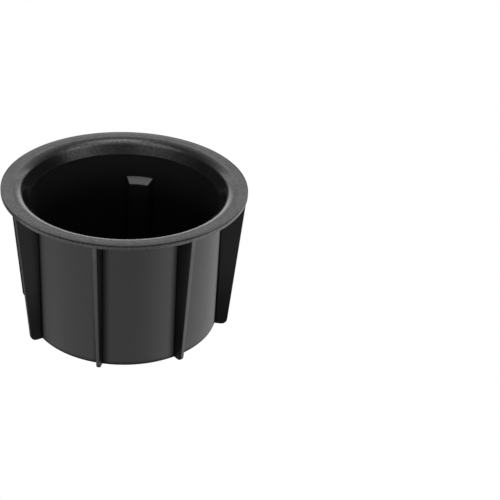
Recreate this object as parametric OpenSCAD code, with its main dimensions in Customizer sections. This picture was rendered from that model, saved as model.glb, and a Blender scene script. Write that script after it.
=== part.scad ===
// Insert that lines a car's cup holder well: a thin round cup with a wide rim,
// a sloped lead-in below the rim, fins that centre it in the well and pads that grip a can.
// Millimetres. Z is up, the base stands on Z = 0 and the cup's axis is the Z axis.

/* [Cup] */
// Height from the base to the top of the rim
cup_h = 59.5; // [48:0.5:80]
// Outer diameter of the cup at its base
base_d = 76; // [72:0.5:88]
// Thickness of the side wall
wall_t = 1.5; // [1.2:0.1:2.2]
// Slope of the side wall away from vertical, which frees it from the mould
wall_draft = 0.5; // [0:0.1:1.2]
// Thickness of the floor
floor_t = 2; // [1.5:0.1:3.5]
// Radius of the base's outer edge
base_edge_r = 0.8; // [0.4:0.1:1.1]
// Radius between the floor and the inside of the wall
floor_fillet_r = 2.5; // [1:0.1:4]

/* [Rim] */
// Distance that the rim reaches out past the base's outer edge
rim_reach = 10; // [9.5:0.25:14]
// Thickness of the rim and its lead-in
rim_t = 1.7; // [1.3:0.1:2.4]
// Width of the rim's flat top
rim_flat_w = 4; // [2:0.1:4.5]
// Radius of the bend from the flat top into the lead-in
rim_bend_r = 6; // [4:0.25:7.5]
// Slope of the lead-in below level
lead_in_angle = 50; // [35:1:54]
// Radius of the rim's outer edges
rim_edge_r = 0.45; // [0.2:0.05:0.6]

/* [Fins] */
// Number of fins round the cup
fin_count = 8; // [4:1:12]
// Angle of the first fin from +X
fin_turn = 31.75; // [0:0.25:90]
// Thickness of a fin at its foot
fin_t = 1.3; // [1:0.1:2]
// Slope of each side of a fin away from vertical
fin_draft = 0.2; // [0:0.05:0.4]
// Distance that a fin's foot stands out from the base's outer edge
fin_foot_w = 5; // [3:0.25:7]
// Height of the fins' feet above the base
fin_foot_z = 0.9; // [0.8:0.1:6]
// Radius of a fin's outer foot corner
fin_corner_r = 2.6; // [0.5:0.1:3]
// Radius where a fin meets the wall
fin_root_r = 0.3; // [0.2:0.05:1]
// Distance from a fin's top to the rim's outer edge
fin_rim_gap = 0.15; // [0.15:0.05:2]

/* [Grip pads] */
// Diameter of the drink can that the pads hold
can_d = 66; // [60:0.5:68]
// Gap between the can and each pad
can_gap = 0.4; // [0.1:0.05:0.8]
// Number of pads round the inside
pad_count = 3; // [2:1:4]
// Angle of the first pad from +X
pad_turn = 80.6; // [0:0.1:120]
// Width of a pad's face
pad_face_w = 7.9; // [5:0.1:12]
// Slope of a pad's sides away from the radius through its middle
pad_side_angle = 28; // [15:1:40]
// Depth of a pad's upper end below the top of the rim
pad_depth = 15.2; // [12:0.1:22]
// Slope of the ramp at a pad's upper end, below level
pad_ramp_angle = 30; // [20:1:50]

/* [Hidden] */
$fn = 96;

base_r = base_d / 2;
rim_r = base_r + rim_reach;

// Radii of the drafted wall at a height
function wall_outer(z) = base_r + (z - base_edge_r) * tan(wall_draft);
function wall_inner(z) = wall_outer(z) - wall_t;

// The bend's centre, and where its inner and outer faces end on the lead-in
bend_x = rim_r - rim_flat_w;
bend_z = cup_h - rim_bend_r;
under_bend_r = rim_bend_r - rim_t;
function bend_end(r) = [bend_x - r * sin(lead_in_angle), bend_z + r * cos(lead_in_angle)];

// Where a lead-in face that starts at p meets the wall face whose radius at Z = 0 is r0
function lead_in_run(p, r0) =
    (p.x - r0 - p.y * tan(wall_draft))
    / (cos(lead_in_angle) - sin(lead_in_angle) * tan(wall_draft));
function lead_in_end(p, r0) =
    p - lead_in_run(p, r0) * [cos(lead_in_angle), sin(lead_in_angle)];
throat_in = lead_in_end(bend_end(rim_bend_r), wall_inner(0));
throat_out = lead_in_end(bend_end(under_bend_r), wall_outer(0));

// Middle of the wall's thickness, where what joins the wall is buried
root_r = wall_inner(0) + wall_t / 2;
rim_mid_z = cup_h - rim_t / 2;

// The fin's outer edge from its foot to the rim
fin_foot = [base_r + fin_foot_w, fin_foot_z];
fin_top = [rim_r - fin_rim_gap, rim_mid_z];
fin_edge = (fin_top - fin_foot) / norm(fin_top - fin_foot);
fin_corner_cut = fin_corner_r / tan(acos(-fin_edge.x) / 2);
fin_throat = (throat_in + throat_out) / 2;
fin_under = [fin_throat.x + (rim_mid_z - fin_throat.y) / tan(lead_in_angle), rim_mid_z];

// Share of the root radius that stands clear of the wall, so that the fillet cuts into the wall
root_lift = 0.85;
fin_root_y = fin_t / 2 + fin_root_r;
fin_root_x = sqrt(pow(base_r + root_lift * fin_root_r, 2) - pow(fin_root_y, 2));

pad_face_r = can_d / 2 + can_gap;
pad_top_z = cup_h - pad_depth;
pad_root_r = wall_inner(pad_top_z);

// Floor, side wall and the fillet between them, as a half section
module wall_section() {
    fillet_z = floor_t + floor_fillet_r;
    fillet_x = wall_inner(fillet_z) - floor_fillet_r;
    square([base_r - base_edge_r, floor_t]);
    translate([base_r - base_edge_r, base_edge_r])
        circle(base_edge_r);
    polygon([
        [wall_inner(base_edge_r), base_edge_r],
        [base_r, base_edge_r],
        throat_out,
        throat_in
    ]);
    difference() {
        translate([fillet_x, floor_t / 2])
            square([floor_fillet_r + wall_t / 2, floor_fillet_r + floor_t / 2]);
        translate([fillet_x, fillet_z])
            circle(floor_fillet_r);
    }
}

// Sloped lead-in, bend and flat rim, as a half section
module rim_section() {
    wedge = 2 * rim_bend_r;
    polygon([
        throat_in,
        throat_out,
        bend_end(under_bend_r),
        bend_end(rim_bend_r)
    ]);
    intersection() {
        translate([bend_x, bend_z])
            difference() {
                circle(rim_bend_r);
                circle(under_bend_r);
            }
        polygon([
            [bend_x, bend_z],
            [bend_x, bend_z + wedge],
            bend_end(wedge)
        ]);
    }
    translate([bend_x, cup_h - rim_t])
        square([rim_flat_w - rim_edge_r, rim_t]);
    translate([bend_x, cup_h - rim_t + rim_edge_r])
        square([rim_flat_w, rim_t - 2 * rim_edge_r]);
    for (z = [cup_h - rim_edge_r, cup_h - rim_t + rim_edge_r])
        translate([rim_r - rim_edge_r, z])
            circle(rim_edge_r);
}

module cup_shell() {
    rotate_extrude() {
        wall_section();
        rim_section();
    }
}

// Side view of a fin, with its root and top buried in the shell's thickness
module fin_side() {
    polygon([
        [root_r, fin_foot.y],
        [fin_foot.x - fin_corner_cut, fin_foot.y],
        fin_foot + fin_corner_cut * fin_edge,
        fin_top,
        fin_under,
        fin_throat
    ]);
    translate([fin_foot.x - fin_corner_cut, fin_foot.y + fin_corner_r])
        circle(fin_corner_r);
}

// One side of a fin seen from above, with the fillet at its root
module fin_plan() {
    translate([root_r, -fin_t / 2])
        square([rim_r - root_r, fin_t]);
    difference() {
        translate([root_r, 0])
            square([fin_root_x - root_r, fin_root_y]);
        translate([fin_root_x, fin_root_y])
            circle(fin_root_r);
    }
}

// One side of a fin, leaned outward with the wall and away from the fin's middle
module fin_half() {
    translate([base_r, 0, base_edge_r])
        rotate([-fin_draft, wall_draft, 0])
            translate([-base_r, 0, -base_edge_r])
                linear_extrude(cup_h)
                    fin_plan();
}

module fin() {
    intersection() {
        union() {
            fin_half();
            mirror([0, 1, 0]) fin_half();
        }
        rotate([90, 0, 0])
            linear_extrude(2 * fin_root_y + 2 * fin_t, center = true)
                fin_side();
    }
}

// A pad inside the wall: tapered sides, a face that follows the can and a ramp on top
module grip_pad() {
    face_x = sqrt(pow(pad_face_r, 2) - pow(pad_face_w / 2, 2));
    apex_x = face_x - pad_face_w / 2 / tan(pad_side_angle);
    root_w = (root_r - apex_x) * tan(pad_side_angle);
    difference() {
        intersection() {
            translate([0, 0, floor_t / 2])
                linear_extrude(cup_h)
                    polygon([[apex_x, 0], [root_r, root_w], [root_r, -root_w]]);
            cylinder(h = cup_h, r = root_r);
            rotate([90, 0, 0])
                linear_extrude(3 * root_w, center = true)
                    polygon([
                        [0, 0],
                        [root_r, 0],
                        [root_r, pad_top_z + (root_r - pad_root_r) * tan(pad_ramp_angle)],
                        [0, pad_top_z - pad_root_r * tan(pad_ramp_angle)]
                    ]);
        }
        cylinder(h = 3 * cup_h, r = pad_face_r, center = true);
    }
}

module cup_insert() {
    color([0.1, 0.1, 0.105])
        union() {
            cup_shell();
            for (i = [0 : fin_count - 1])
                rotate(fin_turn + i * 360 / fin_count)
                    fin();
            for (i = [0 : pad_count - 1])
                rotate(pad_turn + i * 360 / pad_count)
                    grip_pad();
        }
}

cup_insert();
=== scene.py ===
# Insert for a car's cup holder well, moulded in one piece of satin black plastic:
# a thin cup with a wide rolled rim, fins outside and grip pads inside.
# The CAD frame is in metres, Z up, the base on Z = 0; sizes below are in millimetres.
import math

import bpy
from mathutils import Matrix, Vector


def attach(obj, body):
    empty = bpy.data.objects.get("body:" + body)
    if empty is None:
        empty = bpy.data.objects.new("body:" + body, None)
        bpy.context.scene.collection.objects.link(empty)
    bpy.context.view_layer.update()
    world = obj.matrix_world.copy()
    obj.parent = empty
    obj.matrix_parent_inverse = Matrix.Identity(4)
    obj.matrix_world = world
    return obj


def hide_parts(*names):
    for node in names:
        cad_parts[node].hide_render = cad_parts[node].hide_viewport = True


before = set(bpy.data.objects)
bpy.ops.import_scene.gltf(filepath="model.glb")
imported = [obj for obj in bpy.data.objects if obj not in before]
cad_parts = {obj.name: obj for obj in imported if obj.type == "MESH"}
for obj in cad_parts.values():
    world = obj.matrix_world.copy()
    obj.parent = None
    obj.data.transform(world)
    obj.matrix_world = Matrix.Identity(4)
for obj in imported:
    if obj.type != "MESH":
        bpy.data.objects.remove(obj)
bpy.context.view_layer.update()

MM = 0.001
WELD = 0.000002

# Cup
CUP_H = 59.495
BASE_R = 38.0
WALL_T = 1.5
WALL_DRAFT = math.tan(math.radians(0.5))
FLOOR_T = 2.0
BASE_EDGE_R = 0.8
FLOOR_FILLET_R = 2.5

# Rim
RIM_R = 47.98
RIM_T = 1.7
RIM_FLAT_W = 3.98
RIM_BEND_R = 6.0
LEAD_IN = math.radians(50)
RIM_EDGE_R = 0.25

# Fins
FIN_COUNT = 8
FIN_TURN = 31.75
FIN_T = 1.3
FIN_DRAFT = math.tan(math.radians(0.2))
FIN_FOOT_W = 5.0
FIN_FOOT_Z = 0.9
FIN_CORNER_R = 2.6
FIN_ROOT_R = 0.25
FIN_ROOT_LIFT = 0.85
FIN_RIM_GAP = 0.15
FIN_EDGE_R = 0.18

# Grip pads
PAD_COUNT = 3
PAD_TURN = 80.6
PAD_FACE_R = 33.4
PAD_FACE_W = 7.9
PAD_SIDE = math.tan(math.radians(28))
PAD_DEPTH = 15.2
PAD_RAMP = math.radians(30)
PAD_EDGE_R = 0.35
PAD_ROOT_GAP = 0.25

# Steps of the round shapes, and heights of the edge loops up the wall
ROUND_STEPS = 240
BASE_EDGE_STEPS = 6
FLOOR_FILLET_STEPS = 8
BEND_STEPS = 16
UNDER_BEND_STEPS = 10
RIM_EDGE_STEPS = 5
FIN_CORNER_STEPS = 6
FIN_ROOT_STEPS = 5
FIN_EDGE_STEPS = 3
PAD_FACE_STEPS = 10
PAD_EDGE_STEPS = 4
OUTER_LOOPS = (8, 20, 32, 44)
INNER_LOOPS = (44, 32, 20, 10)
SMOOTH_UNDER = math.radians(24)

# Sizes of the blanks that fins and pads are cut from, and how far they reach past them
FIN_BLANK_HALF_T = 4.0
FIN_BLANK_PAST_RIM = 1.0
FIN_BLANK_BELOW = 2.0
PAD_BLANK_H = 50.0


def wall_outer(z):
    return BASE_R + (z - BASE_EDGE_R) * WALL_DRAFT


def wall_inner(z):
    return wall_outer(z) - WALL_T


BEND_X = RIM_R - RIM_FLAT_W
BEND_Z = CUP_H - RIM_BEND_R
UNDER_BEND_R = RIM_BEND_R - RIM_T


def bend_end(radius):
    """Where a face of the bend, at that radius, runs into the lead-in."""
    return BEND_X - radius * math.sin(LEAD_IN), BEND_Z + radius * math.cos(LEAD_IN)


def lead_in_end(start, wall_foot_r):
    """Where a lead-in face from start meets the wall face with that radius at the base plane."""
    x, z = start
    slope = math.cos(LEAD_IN) - math.sin(LEAD_IN) * WALL_DRAFT
    run = (x - wall_foot_r - z * WALL_DRAFT) / slope
    return x - run * math.cos(LEAD_IN), z - run * math.sin(LEAD_IN)


THROAT_IN = lead_in_end(bend_end(RIM_BEND_R), wall_inner(0))
THROAT_OUT = lead_in_end(bend_end(UNDER_BEND_R), wall_outer(0))
ROOT_R = wall_inner(0) + WALL_T / 2


# ---- drawing and shaping by operators ----

def deselect_objects():
    if bpy.context.object and bpy.context.object.mode != "OBJECT":
        bpy.ops.object.mode_set(mode="OBJECT")
    bpy.ops.object.select_all(action="DESELECT")


def pick(piece):
    deselect_objects()
    bpy.context.view_layer.objects.active = piece
    piece.select_set(True)


def work_on(piece):
    pick(piece)
    bpy.ops.object.mode_set(mode="EDIT")


class Outline:
    """A closed outline drawn point by point: side view (x, z) or plan view (x, y)."""

    def __init__(self, name, start, side_view=True):
        self.side_view = side_view
        self.here = start
        deselect_objects()
        bpy.ops.mesh.primitive_plane_add(size=MM)
        self.piece = bpy.context.object
        self.piece.name = self.piece.data.name = name
        bpy.ops.object.mode_set(mode="EDIT")
        bpy.ops.mesh.select_mode(type="VERT")
        bpy.ops.mesh.select_all(action="SELECT")
        bpy.ops.mesh.merge(type="CENTER")
        bpy.ops.transform.translate(value=self.place(start))

    def place(self, point):
        u, v = point
        return Vector((u, 0, v) if self.side_view else (u, v, 0)) * MM

    def line(self, *points):
        for point in points:
            step = self.place(point) - self.place(self.here)
            bpy.ops.mesh.extrude_vertices_move(TRANSFORM_OT_translate={"value": step})
            self.here = point

    def arc(self, centre, degrees, steps):
        """Turns the pen about centre, anticlockwise in the view for a positive angle."""
        axis = (0, -1, 0) if self.side_view else (0, 0, 1)
        bpy.ops.mesh.spin(steps=steps, angle=math.radians(-degrees),
                          center=self.place(centre), axis=axis)
        turn = math.radians(degrees)
        u, v = self.here[0] - centre[0], self.here[1] - centre[1]
        self.here = (centre[0] + u * math.cos(turn) - v * math.sin(turn),
                     centre[1] + u * math.sin(turn) + v * math.cos(turn))

    def close(self, fill=True):
        """Joins the ends and leaves the outline selected, in edit mode."""
        bpy.ops.mesh.select_all(action="SELECT")
        bpy.ops.mesh.remove_doubles(threshold=WELD)
        if fill:
            bpy.ops.mesh.edge_face_add()
        return self.piece


def shift(x, y, z):
    bpy.ops.transform.translate(value=(x * MM, y * MM, z * MM))


def extrude_by(x, y, z):
    bpy.ops.mesh.extrude_region_move(TRANSFORM_OT_translate={"value": (x * MM, y * MM, z * MM)})


def weld():
    bpy.ops.mesh.select_all(action="SELECT")
    bpy.ops.mesh.remove_doubles(threshold=WELD)


def face_outwards():
    weld()
    bpy.ops.mesh.normals_make_consistent(inside=False)


def split_large_faces():
    """Splits faces of five or more corners by their shape, so that each run shades them alike."""
    bpy.ops.mesh.select_mode(type="FACE")
    bpy.ops.mesh.select_all(action="DESELECT")
    bpy.ops.mesh.select_face_by_sides(number=4, type="GREATER")
    bpy.ops.mesh.quads_convert_to_tris(quad_method="BEAUTY", ngon_method="BEAUTY")


def combine(piece, tool, how):
    """Adds the tool, or keeps what both share; the tool is used up."""
    pick(piece)
    cut = piece.modifiers.new("combine", "BOOLEAN")
    cut.operation, cut.object, cut.solver = how, tool, "EXACT"
    bpy.ops.object.modifier_apply(modifier=cut.name)
    bpy.data.objects.remove(tool)


def set_round(piece, degrees, count):
    """Turns a piece about the cup's axis to its first place, and copies it round the cup."""
    deselect_objects()
    piece.data.transform(Matrix.Rotation(math.radians(degrees), 4, "Z"))
    work_on(piece)
    bpy.ops.mesh.select_all(action="SELECT")
    bpy.ops.mesh.spin(steps=count - 1, angle=math.tau * (count - 1) / count, dupli=True,
                      center=(0, 0, 0), axis=(0, 0, 1))
    bpy.ops.object.mode_set(mode="OBJECT")


def round_edges(piece, wanted, radius, steps):
    """Rounds the edges for which wanted(first end, second end), in millimetres, is true."""
    bpy.ops.mesh.select_mode(type="EDGE")
    bpy.ops.mesh.select_all(action="DESELECT")
    bpy.ops.object.mode_set(mode="OBJECT")
    points = piece.data.vertices
    for edge in piece.data.edges:
        a, b = (points[i].co / MM for i in edge.vertices)
        edge.select = wanted(a, b)
    bpy.ops.object.mode_set(mode="EDIT")
    bpy.ops.mesh.bevel(offset=radius * MM, segments=steps, profile=0.5, affect="EDGES")
    bpy.ops.object.mode_set(mode="OBJECT")


# ---- the cup's shell ----

def make_shell():
    pen = Outline("cup_insert_moulding", (0, 0))
    pen.line((BASE_R - BASE_EDGE_R, 0))
    pen.arc((BASE_R - BASE_EDGE_R, BASE_EDGE_R), 90, BASE_EDGE_STEPS)
    for z in OUTER_LOOPS:
        pen.line((wall_outer(z), z))
    pen.line(THROAT_OUT, bend_end(UNDER_BEND_R))
    pen.arc((BEND_X, BEND_Z), -math.degrees(LEAD_IN), UNDER_BEND_STEPS)
    pen.line((RIM_R - RIM_EDGE_R, CUP_H - RIM_T))
    pen.arc((RIM_R - RIM_EDGE_R, CUP_H - RIM_T + RIM_EDGE_R), 90, RIM_EDGE_STEPS)
    pen.line((RIM_R, CUP_H - RIM_EDGE_R))
    pen.arc((RIM_R - RIM_EDGE_R, CUP_H - RIM_EDGE_R), 90, RIM_EDGE_STEPS)
    pen.line((BEND_X, CUP_H))
    pen.arc((BEND_X, BEND_Z), math.degrees(LEAD_IN), BEND_STEPS)
    pen.line(THROAT_IN)
    for z in INNER_LOOPS:
        pen.line((wall_inner(z), z))
    fillet_z = FLOOR_T + FLOOR_FILLET_R
    fillet_x = wall_inner(fillet_z) - FLOOR_FILLET_R
    pen.line((fillet_x + FLOOR_FILLET_R, fillet_z))
    pen.arc((fillet_x, fillet_z), -90, FLOOR_FILLET_STEPS)
    pen.line((0, FLOOR_T))
    shell = pen.close(fill=False)
    bpy.ops.mesh.spin(steps=ROUND_STEPS, angle=math.tau, center=(0, 0, 0), axis=(0, 0, 1))
    face_outwards()
    bpy.ops.object.mode_set(mode="OBJECT")
    return shell


# ---- fins ----

# The fin's foot corner and top, (x, z), and the way its outer edge runs between them
FIN_FOOT = Vector((BASE_R + FIN_FOOT_W, FIN_FOOT_Z))
FIN_TOP = Vector((RIM_R - FIN_RIM_GAP, CUP_H - RIM_T / 2))
FIN_EDGE = (FIN_TOP - FIN_FOOT).normalized()


def fin_edge_x(z):
    return FIN_FOOT.x + (z - FIN_FOOT.y) * FIN_EDGE.x / FIN_EDGE.y


def fin_blank():
    """The fin's side view, extruded thicker than the fin."""
    opening = math.acos(-FIN_EDGE.x)
    cut = FIN_CORNER_R / math.tan(opening / 2)
    throat = ((THROAT_IN[0] + THROAT_OUT[0]) / 2, (THROAT_IN[1] + THROAT_OUT[1]) / 2)
    under = (throat[0] + (FIN_TOP.y - throat[1]) / math.tan(LEAD_IN), FIN_TOP.y)
    side = Outline("cup_insert_fins", (ROOT_R, FIN_FOOT_Z))
    side.line((FIN_FOOT.x - cut, FIN_FOOT.y))
    side.arc((FIN_FOOT.x - cut, FIN_FOOT.y + FIN_CORNER_R), 180 - math.degrees(opening),
             FIN_CORNER_STEPS)
    side.line(tuple(FIN_TOP), under, throat)
    fin = side.close()
    shift(0, -FIN_BLANK_HALF_T, 0)
    extrude_by(0, 2 * FIN_BLANK_HALF_T, 0)
    face_outwards()
    return fin


def fin_section():
    """The fin seen from above with its root fillets, run up along the leaning wall."""
    half = FIN_T / 2
    root_y = half + FIN_ROOT_R
    root_x = math.sqrt((BASE_R + FIN_ROOT_LIFT * FIN_ROOT_R) ** 2 - root_y ** 2)
    end_x = RIM_R + FIN_BLANK_PAST_RIM
    plan = Outline("fin_plan", (ROOT_R, -root_y), side_view=False)
    plan.line((root_x - FIN_ROOT_R, -root_y))
    plan.arc((root_x, -root_y), -90, FIN_ROOT_STEPS)
    plan.line((end_x, -half), (end_x, half), (root_x, half))
    plan.arc((root_x, root_y), -90, FIN_ROOT_STEPS)
    plan.line((ROOT_R, root_y))
    section = plan.close()
    to_base_edge = BASE_EDGE_R + FIN_BLANK_BELOW
    tall = CUP_H + FIN_BLANK_BELOW
    shift(-to_base_edge * WALL_DRAFT, 0, -FIN_BLANK_BELOW)
    extrude_by(tall * WALL_DRAFT, 0, tall)
    taper(section, to_base_edge * FIN_DRAFT, tall * FIN_DRAFT)
    face_outwards()
    bpy.ops.object.mode_set(mode="OBJECT")
    return section


def taper(section, foot, rise):
    """Moves both sides in by foot at the lower end, and out by rise less foot at the upper."""
    middle_z = CUP_H / 2 * MM
    bpy.ops.object.mode_set(mode="OBJECT")
    for point in section.data.vertices:
        side = 1 if point.co.y > 0 else -1
        out = rise - foot if point.co.z > middle_z else -foot
        point.co.y += side * out * MM
    bpy.ops.object.mode_set(mode="EDIT")


def make_fins():
    fins = fin_blank()
    combine(fins, fin_section(), "INTERSECT")
    work_on(fins)
    weld()
    # The edges to round run along the fin's sides, on its outer line or below its foot corner,
    # and end clear of the wall
    off_wall, far_off_wall = BASE_R + 0.7, BASE_R + 1.6
    middle_w = 0.3
    near_line, near_end = 0.05, 0.1
    corner_z = FIN_FOOT_Z + FIN_CORNER_R + near_end

    def outer_edge(a, b):
        along = abs(a.y - b.y) < middle_w and min(abs(a.y), abs(b.y)) > middle_w
        outside = min(a.x, b.x) > off_wall and max(a.x, b.x) > far_off_wall
        on_edge = all(p.x > fin_edge_x(p.z) - near_line or p.z < corner_z for p in (a, b))
        return along and outside and on_edge and max(a.z, b.z) < FIN_TOP.y + near_end

    round_edges(fins, outer_edge, FIN_EDGE_R, FIN_EDGE_STEPS)
    set_round(fins, FIN_TURN, FIN_COUNT)
    return fins


# ---- grip pads ----

def make_pads():
    half = PAD_FACE_W / 2
    face_half_turn = math.asin(half / PAD_FACE_R)
    face_x = PAD_FACE_R * math.cos(face_half_turn)
    root_x = ROOT_R - PAD_ROOT_GAP
    root_w = half + (root_x - face_x) * PAD_SIDE
    ramp_z = CUP_H - PAD_DEPTH
    ramp_x = wall_inner(ramp_z)
    ramp_normal = Vector((-math.sin(PAD_RAMP), 0, math.cos(PAD_RAMP)))

    plan = Outline("grip_pads", (root_x, -root_w), side_view=False)
    plan.line((face_x, -half))
    plan.arc((0, 0), 2 * math.degrees(face_half_turn), PAD_FACE_STEPS)
    plan.line((root_x, root_w))
    pads = plan.close()
    shift(0, 0, FLOOR_T / 2)
    extrude_by(0, 0, PAD_BLANK_H)
    face_outwards()
    bpy.ops.mesh.bisect(plane_co=(ramp_x * MM, 0, ramp_z * MM), plane_no=ramp_normal,
                        use_fill=True, clear_outer=True)
    face_outwards()
    near, near_ramp, near_root = 0.05, 0.02, 0.1

    def shown_edge(a, b):
        ends = (a, b)
        side = all(abs(abs(p.y) - half) < near and abs(p.x - face_x) < near for p in ends)
        ramp = all(abs((p - Vector((ramp_x, 0, ramp_z))).dot(ramp_normal)) < near_ramp
                   for p in ends)
        at_root = all(p.x > root_x - near_root for p in ends)
        return side or (ramp and not at_root)

    round_edges(pads, shown_edge, PAD_EDGE_R, PAD_EDGE_STEPS)
    set_round(pads, PAD_TURN, PAD_COUNT)
    return pads


# ---- materials ----

# Strength of the sheen on each kind of face, as the Specular IOR Level: less on the fins' flanks
# and the base's edge as painted shade, more on the fins' outer edges and the rim's corner and side
# as painted highlights; and the levels that part a flank from the rest
SHELL_SHEEN = 0.5
FLANK_PAINTED_SHADE = 0.16
FLANK_SPAN = (FLANK_PAINTED_SHADE + 0.01, FLANK_PAINTED_SHADE + 0.05)
EDGE_SHEEN = 0.78
BASE_EDGE_PAINTED_SHADE = 0.15
RIM_CORNER_PAINTED_HIGHLIGHT = 0.6
# Painted highlight on the rim's side: its sheen at the front and further back, and between which Y
# it changes
RIM_FRONT_PAINTED_HIGHLIGHT, RIM_BACK_PAINTED_HIGHLIGHT = 0.72, 1.0
RIM_SIDE_FROM_Y, RIM_SIDE_TO_Y = -43, -31

# Painted shade: the share of the sheen that is left beside a fin's root, at the foot of its flanks,
# along the base and on the rim's outer border, and where each fades in or out in millimetres
ROOT_PAINTED_SHADE, ROOT_SHADE_W = 0.12, 3.2
FOOT_PAINTED_SHADE, FOOT_SHADE_Z = 0.3, (4, 34)
BASE_LINE_PAINTED_SHADE, BASE_LINE_H = 0.1, 2.4
BORDER_PAINTED_SHADE, BORDER_REACH, BORDER_Z = 0.25, (47.0, 47.6), (59.1, 59.3)
BORDER_FRONT_Y, BORDER_BACK_Y = (-43, -34), (0, 12)

# Where the fins, the inside of the cup, the rim and the cup's inner wall begin, in millimetres
# from the axis or above the base
FIN_REACH = (38.8, 39.1)
INSIDE_REACH = (37.6, 37.8)
UNDER_RIM_Z = (53, 53.5)
RIM_Z = (52, 56)
CUP_WALL_REACH = (THROAT_IN[0] + 0.03, THROAT_IN[0] + 0.13)
# Heights over which the painted light on the cup's inner wall fades in, darker towards the bottom
CUP_WALL_PAINTED_LIGHT_Z = (32, 50)

# Finish of the plain wall and of the rim, and the light painted on the upper inner wall
WALL_ROUGH, RIM_ROUGH = 0.3, 0.17
WALL_SPECKS, RIM_SPECKS = 0.02, 0.22
ROUGH_UNEVEN = 0.03
DARK_SHADE = (0.003, 0.003, 0.0032, 1)
# Pale tone for the random patches and for the light painted on the upper inner wall, and how much
# of it that painted light takes
PALE_TONE_AND_PAINTED_LIGHT = (0.04, 0.04, 0.041, 1)
CUP_WALL_PAINTED_LIGHT = 0.22
SHADE_UNEVEN = 0.08
# The two patterns of the grain, and the middle span of each that is used in full
GRAINS_PER_METRE, GRAIN_DETAIL, GRAIN_SPAN = 900, 2, (0.35, 0.65)
PATCHES_PER_METRE, PATCH_DETAIL, PATCH_SPAN = 90, 3, (0.3, 0.7)
GRAIN_DEPTH = 0.04
GRAIN_STRENGTH = 0.5
PLASTIC_IOR = 1.47


def mm(span):
    return tuple(length * MM for length in span)


class Wiring:
    """Adds nodes to one tree; each call gives the new node's output."""

    def __init__(self, tree):
        self.tree = tree

    def new(self, kind):
        return self.tree.nodes.new("ShaderNode" + kind)

    def link(self, source, target):
        self.tree.links.new(source, target)

    def feed(self, value, socket):
        """Sets a plain number on the socket, or links another node's output to it."""
        if isinstance(value, (int, float)):
            socket.default_value = value
        else:
            self.link(value, socket)

    def calculate(self, how, *values):
        node = self.new("Math")
        node.operation = how
        for value, socket in zip(values, node.inputs):
            self.feed(value, socket)
        return node.outputs["Value"]

    def times(self, first, *others):
        for other in others:
            first = self.calculate("MULTIPLY", first, other)
        return first

    def plus(self, first, *others):
        for other in others:
            first = self.calculate("ADD", first, other)
        return first

    def highest(self, first, *others):
        for other in others:
            first = self.calculate("MAXIMUM", first, other)
        return first

    def spread(self, source, span, values, kind="SMOOTHSTEP"):
        """Turns a span of the source into a span of values."""
        node = self.new("MapRange")
        node.interpolation_type = kind
        for name, value in zip(("From Min", "From Max", "To Min", "To Max"), (*span, *values)):
            node.inputs[name].default_value = value
        self.link(source, node.inputs["Value"])
        return node.outputs["Result"]

    def axes(self, source):
        node = self.new("SeparateXYZ")
        self.link(source, node.inputs["Vector"])
        return node.outputs["X"], node.outputs["Y"], node.outputs["Z"]

    def noise(self, place, scale, detail):
        node = self.new("TexNoise")
        node.inputs["Detail"].default_value = detail
        self.link(place, node.inputs["Vector"])
        self.feed(scale, node.inputs["Scale"])
        return node.outputs["Fac"]

    def blend(self, factor):
        """A colour mix by the factor; gives the node, for its two colours and its result."""
        node = self.new("Mix")
        node.data_type = "RGBA"
        self.link(factor, node.inputs["Factor"])
        return node


def new_material(name):
    material = bpy.data.materials.new(name)
    material.use_nodes = True
    material.node_tree.nodes.clear()
    wires = Wiring(material.node_tree)
    return material, wires, wires.new("OutputMaterial").inputs["Surface"]


def fine_grain():
    """Node group: the faint unevenness and grain of a moulded face, on object coordinates."""
    group = bpy.data.node_groups.new("fine_grain", "ShaderNodeTree")
    group.interface.new_socket("Place", in_out="INPUT", socket_type="NodeSocketVector")
    for name in ("Grains per metre", "Patches per metre"):
        group.interface.new_socket(name, in_out="INPUT", socket_type="NodeSocketFloat")
    for name in ("Height", "Patches"):
        group.interface.new_socket(name, in_out="OUTPUT", socket_type="NodeSocketFloat")
    inside = group.nodes.new("NodeGroupInput")
    outside = group.nodes.new("NodeGroupOutput")
    wires = Wiring(group)
    for source, target, detail in (("Grains per metre", "Height", GRAIN_DETAIL),
                                   ("Patches per metre", "Patches", PATCH_DETAIL)):
        pattern = wires.noise(inside.outputs["Place"], inside.outputs[source], detail)
        wires.link(pattern, outside.inputs[target])
    return group


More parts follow.
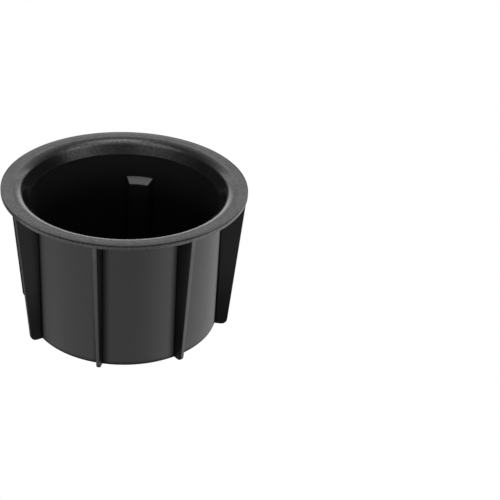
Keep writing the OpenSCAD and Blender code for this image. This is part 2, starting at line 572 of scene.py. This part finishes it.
def sheen_by_place(wires, place, level, x, y, z, reach):
    """The faces' own level of sheen, with painted shade beside the fins' roots, at the foot of the
    flanks, along the base and on the rim's outer border at the front and back, and specked by the
    grain.
    """
    # Painted shade on the wall beside each fin's root
    turn = wires.calculate("SUBTRACT", wires.calculate("ARCTAN2", y, x), math.radians(FIN_TURN))
    from_fin = wires.calculate("PINGPONG", turn, math.pi / FIN_COUNT)
    beside_fin = wires.spread(wires.times(from_fin, BASE_R * MM),
                              mm((FIN_T / 2, FIN_T / 2 + ROOT_SHADE_W)), (ROOT_PAINTED_SHADE, 1))
    elsewhere = wires.highest(wires.spread(reach, mm(FIN_REACH), (0, 1)),
                              wires.spread(reach, mm(INSIDE_REACH), (1, 0)),
                              wires.spread(z, mm(UNDER_RIM_Z), (0, 1)))
    sheen = wires.times(level, wires.highest(beside_fin, elsewhere))

    # Painted shade on the rim's outer border, at the front and the back
    front_and_back = wires.plus(wires.spread(y, mm(BORDER_FRONT_Y), (1, 0)),
                                wires.spread(y, mm(BORDER_BACK_Y), (0, 1)))
    border = wires.times(wires.spread(reach, mm(BORDER_REACH), (0, 1 - BORDER_PAINTED_SHADE)),
                         wires.spread(z, mm(BORDER_Z), (0, 1)), front_and_back)
    sheen = wires.times(sheen, wires.calculate("SUBTRACT", 1, border))

    grains = wires.noise(place, GRAINS_PER_METRE, GRAIN_DETAIL)
    specks = wires.times(wires.spread(grains, GRAIN_SPAN, (-1, 1), "LINEAR"),
                         wires.spread(z, mm(RIM_Z), (WALL_SPECKS, RIM_SPECKS)))
    sheen = wires.times(sheen, wires.plus(specks, 1))

    # Painted shade on the fins' flanks towards the foot, and along the base
    off_flank = wires.spread(level, FLANK_SPAN, (0, 1))
    up_flank = wires.spread(z, mm(FOOT_SHADE_Z), (FOOT_PAINTED_SHADE, 1))
    base_line = wires.spread(z, (0, BASE_LINE_H * MM), (BASE_LINE_PAINTED_SHADE, 1))
    return wires.times(sheen, wires.highest(off_flank, up_flank), base_line)


def satin_black_plastic():
    material, wires, surface = new_material("satin_black_plastic")
    shader = wires.new("BsdfPrincipled")
    wires.link(shader.outputs["BSDF"], surface)
    shader.inputs["IOR"].default_value = PLASTIC_IOR

    place = wires.new("TexCoord").outputs["Object"]
    grain = wires.new("Group")
    grain.node_tree = fine_grain()
    wires.link(place, grain.inputs["Place"])
    grain.inputs["Grains per metre"].default_value = GRAINS_PER_METRE
    grain.inputs["Patches per metre"].default_value = PATCHES_PER_METRE
    # The faces' stored sheen, which holds painted shade and painted highlights
    sheen_attribute = wires.new("Attribute")
    sheen_attribute.attribute_type, sheen_attribute.attribute_name = "GEOMETRY", "sheen"

    x, y, z = wires.axes(place)
    reach = wires.calculate("SQRT", wires.plus(wires.times(x, x), wires.times(y, y)))
    sheen = sheen_by_place(wires, place, sheen_attribute.outputs["Fac"], x, y, z, reach)
    wires.link(sheen, shader.inputs["Specular IOR Level"])

    rim = wires.spread(z, mm(RIM_Z), (WALL_ROUGH, RIM_ROUGH))
    uneven = wires.spread(grain.outputs["Patches"], PATCH_SPAN, (-ROUGH_UNEVEN, ROUGH_UNEVEN),
                          "LINEAR")
    on_rim = wires.spread(z, mm(RIM_Z), (0, 1))
    wires.link(wires.plus(rim, wires.times(uneven, on_rim)), shader.inputs["Roughness"])

    # Painted light: the cup's inner wall is lighter high up and darker towards the bottom
    painted_light_on_wall = wires.times(wires.spread(reach, mm(CUP_WALL_REACH), (1, 0)),
                           wires.spread(z, mm(CUP_WALL_PAINTED_LIGHT_Z), (0, 1)), CUP_WALL_PAINTED_LIGHT)
    shade = wires.blend(wires.plus(painted_light_on_wall, wires.times(grain.outputs["Patches"], SHADE_UNEVEN)))
    shade.inputs["A"].default_value = DARK_SHADE
    shade.inputs["B"].default_value = PALE_TONE_AND_PAINTED_LIGHT
    wires.link(shade.outputs["Result"], shader.inputs["Base Color"])

    bump = wires.new("Bump")
    bump.inputs["Strength"].default_value = GRAIN_STRENGTH
    bump.inputs["Distance"].default_value = GRAIN_DEPTH * MM
    wires.link(grain.outputs["Height"], bump.inputs["Height"])
    wires.link(bump.outputs["Normal"], shader.inputs["Normal"])
    return material


def mark_sheen_and_painted_light(piece):
    """Stores each face's sheen: low on the fins' sides and the base's edge as painted shade, high
    on the fins' edges and the rim's corner and side as painted highlights.
    """
    flank_across, edge_across = 0.35, 0.6
    fin_edge_w, rim_side_w = 0.25, 0.2
    near_wall, near_foot = 0.02, 0.1
    base_edge_z = 0.7 * BASE_EDGE_R
    mark = piece.data.attributes.new("sheen", "FLOAT", "FACE")
    for face in piece.data.polygons:
        middle = face.center / MM
        out = Vector((middle.x, middle.y, 0))
        r = out.length
        across = abs(face.normal.cross(out.normalized()).z)
        between = FIN_FOOT_Z - near_foot < middle.z < CUP_H - RIM_T
        beside_cup = between and r > wall_outer(middle.z) - near_wall
        value = SHELL_SHEEN
        # Painted shade: the fins' flanks get little sheen
        if beside_cup and across > flank_across:
            value = FLANK_PAINTED_SHADE
        # Painted highlight along the fins' outer edges
        if beside_cup and r > fin_edge_x(middle.z) - fin_edge_w and across < edge_across:
            value = EDGE_SHEEN
        # Painted shade along the base's rounded edge
        if middle.z < base_edge_z:
            value = BASE_EDGE_PAINTED_SHADE
        # Painted highlight on the rim's rounded corner, and on its side, brighter further back than
        # at the front
        if r > RIM_R - RIM_EDGE_R and middle.z > CUP_H - RIM_EDGE_R:
            value = RIM_CORNER_PAINTED_HIGHLIGHT
        elif r > RIM_R - rim_side_w and middle.z > CUP_H - RIM_T + RIM_EDGE_R / 2:
            back = (middle.y - RIM_SIDE_FROM_Y) / (RIM_SIDE_TO_Y - RIM_SIDE_FROM_Y)
            value = RIM_FRONT_PAINTED_HIGHLIGHT + (RIM_BACK_PAINTED_HIGHLIGHT - RIM_FRONT_PAINTED_HIGHLIGHT) * min(max(back, 0), 1)
        mark.data[face.index].value = value


def studio_white():
    material, wires, surface = new_material("pale_floor")
    glow = wires.new("Emission")
    glow.inputs["Color"].default_value = (1, 1, 1, 1)
    glow.inputs["Strength"].default_value = 1.0
    wires.link(glow.outputs["Emission"], surface)
    return material


# ---- the studio ----

# Brightness of the studio by direction, as (place, brightness). The dome is measured in
# degrees from the horizon behind the cup, over the top, to the horizon in front, and what
# is in front or below in degrees round from the front, positive to the right. The sides
# of a light are measured by the direction's x, of the backdrop by |x| less z, and heights
# and depths by z.
BRIGHTEST = 4.0
BACKDROP = ((0, 1.6), (12, 1.5), (20, 1.05), (25, 0.8), (28, 1.5), (31, 1.9), (34, 1.4),
            (40, 0.65), (46, 0.35), (56, 0.15), (68, 0), (180, 0))
BACKDROP_SIDES = ((-0.35, 0.95), (-0.3, 1.0), (-0.18, 1.2), (0.05, 1.38), (0.16, 1.15),
                  (0.28, 0), (1, 0))
GLOW = ((0, 0), (36, 0), (45, 0.4), (52, 0.6), (66, 0.6), (76, 0.3), (88, 0), (180, 0))
GLOW_SIDES = ((-1, 0), (-0.5, 0.05), (-0.35, 0.15), (-0.2, 0.35), (-0.1, 0.85), (0.1, 0.9),
              (0.2, 0.5), (0.35, 0.3), (0.55, 0.1), (0.7, 0), (1, 0))
OVERHEAD = ((0, 0), (65, 0), (77, 3.8), (84, 4.0), (92, 3.2), (100, 1.8), (107, 0.9),
            (115, 0.35), (124, 0), (180, 0))
OVERHEAD_SIDES = ((-1, 0), (-0.3, 0), (-0.2, 0.1), (-0.12, 0.45), (-0.05, 0.95), (0.05, 1.0),
                  (0.15, 0.9), (0.24, 0.55), (0.32, 0.25), (0.45, 0.12), (0.6, 0.05),
                  (0.72, 0), (1, 0))
STREAKS = ((0, 0), (76, 0), (84, 0.7), (91, 2.2), (98, 2.8), (105, 2.3), (112, 1.5),
           (122, 0.5), (132, 0), (180, 0))
STREAK_SIDES = ((-1, 0), (-0.8, 0), (-0.66, 0.05), (-0.53, 0.45), (-0.4, 0.85), (-0.28, 1.0),
                (-0.18, 0.75), (-0.1, 0.2), (0, 0), (0.12, 0), (0.22, 0.35), (0.33, 0.4),
                (0.42, 0.7), (0.54, 1.0), (0.62, 0.7), (0.7, 0.45), (0.8, 0), (1, 0))
ROOM = ((0, 0.03), (0.5, 0.06), (0.66, 0.25), (0.8, 0.4), (1, 0.42))
FRONT = ((-180, 0), (-104, 0), (-82, 1.3), (0, 1.5), (82, 1.3), (104, 0), (180, 0))
FRONT_HEIGHT = ((0, 1.0), (0.36, 0.8), (0.5, 0), (1, 0))
ROUND_FLOOR = ((-180, 0.7), (-168, 0.42), (-150, 0.25), (-120, 0.25), (-108, 0.7), (-92, 1.0),
               (-60, 1.1), (-35, 1.18), (-15, 1.02), (0, 1.0), (22, 1.0), (38, 1.3), (52, 1.6),
               (70, 1.6), (90, 1.4), (105, 1.25), (120, 1.05), (146, 0.8), (156, 0.2),
               (168, 0.35), (180, 0.7))
FLOOR_DEPTH = ((-1, 0.2), (-0.9, 0.25), (-0.72, 0.9), (-0.6, 1.0), (0, 1.0))
HORIZON = (-0.06, 0.02)

# The floor lies just below the base, and the dome stands behind all that the camera sees, in metres
FLOOR_RADIUS, FLOOR_STEPS = 8, 96
FLOOR_Z = -0.0001
DOME_RADIUS, DOME_STEPS = 3, 64

# Camera fitted to the photo's outlines of the rim, base and fins, in metres and degrees
LENS, SENSOR_W = 88.969, 36
CAMERA_AT = (0, -0.42994, 0.28501)
CAMERA_AIM = (0.050613, 0, 0.030320)
CAMERA_ROLL = 4.003
CLIP = (0.01, 20)


def make_floor(white):
    deselect_objects()
    bpy.ops.mesh.primitive_circle_add(vertices=FLOOR_STEPS, radius=FLOOR_RADIUS,
                                      fill_type="NGON", location=(0, 0, FLOOR_Z))
    floor = bpy.context.object
    floor.name = "studio_floor"
    floor.data.materials.append(white)
    floor.visible_glossy = False


def make_backdrop(white):
    """A white dome behind everything. Only the camera sees it, so it lights nothing."""
    deselect_objects()
    bpy.ops.mesh.primitive_uv_sphere_add(segments=DOME_STEPS, ring_count=DOME_STEPS // 2,
                                         radius=DOME_RADIUS)
    dome = bpy.context.object
    dome.name = "studio_dome"
    dome.data.materials.append(white)
    dome.visible_glossy = dome.visible_diffuse = False
    dome.visible_transmission = dome.visible_shadow = False


def brightness(wires, source, stops):
    """A soft curve of the stops over the source, as a share of the brightest."""
    low, high = stops[0][0], stops[-1][0]
    curve = wires.new("ValToRGB")
    curve.color_ramp.interpolation = "EASE"
    points = curve.color_ramp.elements
    while len(points) > 1:
        points.remove(points[-1])
    for i, (place, level) in enumerate(stops):
        where = (place - low) / (high - low)
        point = points[0] if i == 0 else points.new(where)
        point.position = where
        shade = level / BRIGHTEST
        point.color = (shade, shade, shade, 1)
    wires.link(wires.spread(source, (low, high), (0, 1), "LINEAR"), curve.inputs["Fac"])
    return curve.outputs["Color"]


def make_lights():
    world = bpy.data.worlds.new("studio")
    bpy.context.scene.world = world
    world.use_nodes = True
    wires = Wiring(world.node_tree)
    glow = world.node_tree.nodes["Background"]
    glow.inputs["Strength"].default_value = BRIGHTEST
    x, y, z = wires.axes(wires.new("TexCoord").outputs["Generated"])

    def light(along, levels, across, sides):
        return wires.times(brightness(wires, along, levels), brightness(wires, across, sides))

    over = wires.times(wires.calculate("ARCTAN2", z, y), math.degrees(1))
    flare = wires.calculate("SUBTRACT", wires.calculate("ABSOLUTE", x), z)
    dome = wires.plus(light(over, BACKDROP, flare, BACKDROP_SIDES),
                      light(over, OVERHEAD, x, OVERHEAD_SIDES),
                      light(over, STREAKS, x, STREAK_SIDES),
                      light(over, GLOW, x, GLOW_SIDES))

    turn = wires.times(wires.calculate("ARCTAN2", x, wires.times(y, -1)), math.degrees(1))
    front = light(turn, FRONT, z, FRONT_HEIGHT)
    upper = wires.plus(wires.times(wires.plus(dome, front), BRIGHTEST), brightness(wires, z, ROOM))
    lower = wires.times(light(turn, ROUND_FLOOR, z, FLOOR_DEPTH), BRIGHTEST)

    meet = wires.blend(wires.spread(z, HORIZON, (0, 1)))
    wires.link(lower, meet.inputs["A"])
    wires.link(upper, meet.inputs["B"])
    wires.link(meet.outputs["Result"], glow.inputs["Color"])


def make_camera():
    data = bpy.data.cameras.new("photo_view")
    camera = bpy.data.objects.new("photo_view", data)
    bpy.context.scene.collection.objects.link(camera)
    data.lens, data.sensor_width = LENS, SENSOR_W
    data.clip_start, data.clip_end = CLIP
    camera.location = CAMERA_AT
    camera.rotation_mode = "QUATERNION"
    level = (Vector(CAMERA_AIM) - camera.location).to_track_quat("-Z", "Y").to_matrix()
    roll = Matrix.Rotation(math.radians(CAMERA_ROLL), 3, "Z")
    camera.rotation_quaternion = (level @ roll).to_quaternion()
    bpy.context.scene.camera = camera


shell = make_shell()
fins = make_fins()
combine(shell, make_pads(), "UNION")
plastic = satin_black_plastic()
for piece in (shell, fins):
    work_on(piece)
    face_outwards()
    split_large_faces()
    bpy.ops.object.mode_set(mode="OBJECT")
    bpy.ops.object.shade_smooth_by_angle(angle=SMOOTH_UNDER)
    mark_sheen_and_painted_light(piece)
    piece.data.materials.clear()
    piece.data.materials.append(plastic)
    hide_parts("cup_insert")
    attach(piece, "root")
# The wall's reflections are those of the plain studio, without the fins beside it
fins.visible_glossy = False
white = studio_white()
make_floor(white)
make_backdrop(white)
make_lights()
make_camera()
bpy.context.scene.view_settings.view_transform = "Standard"
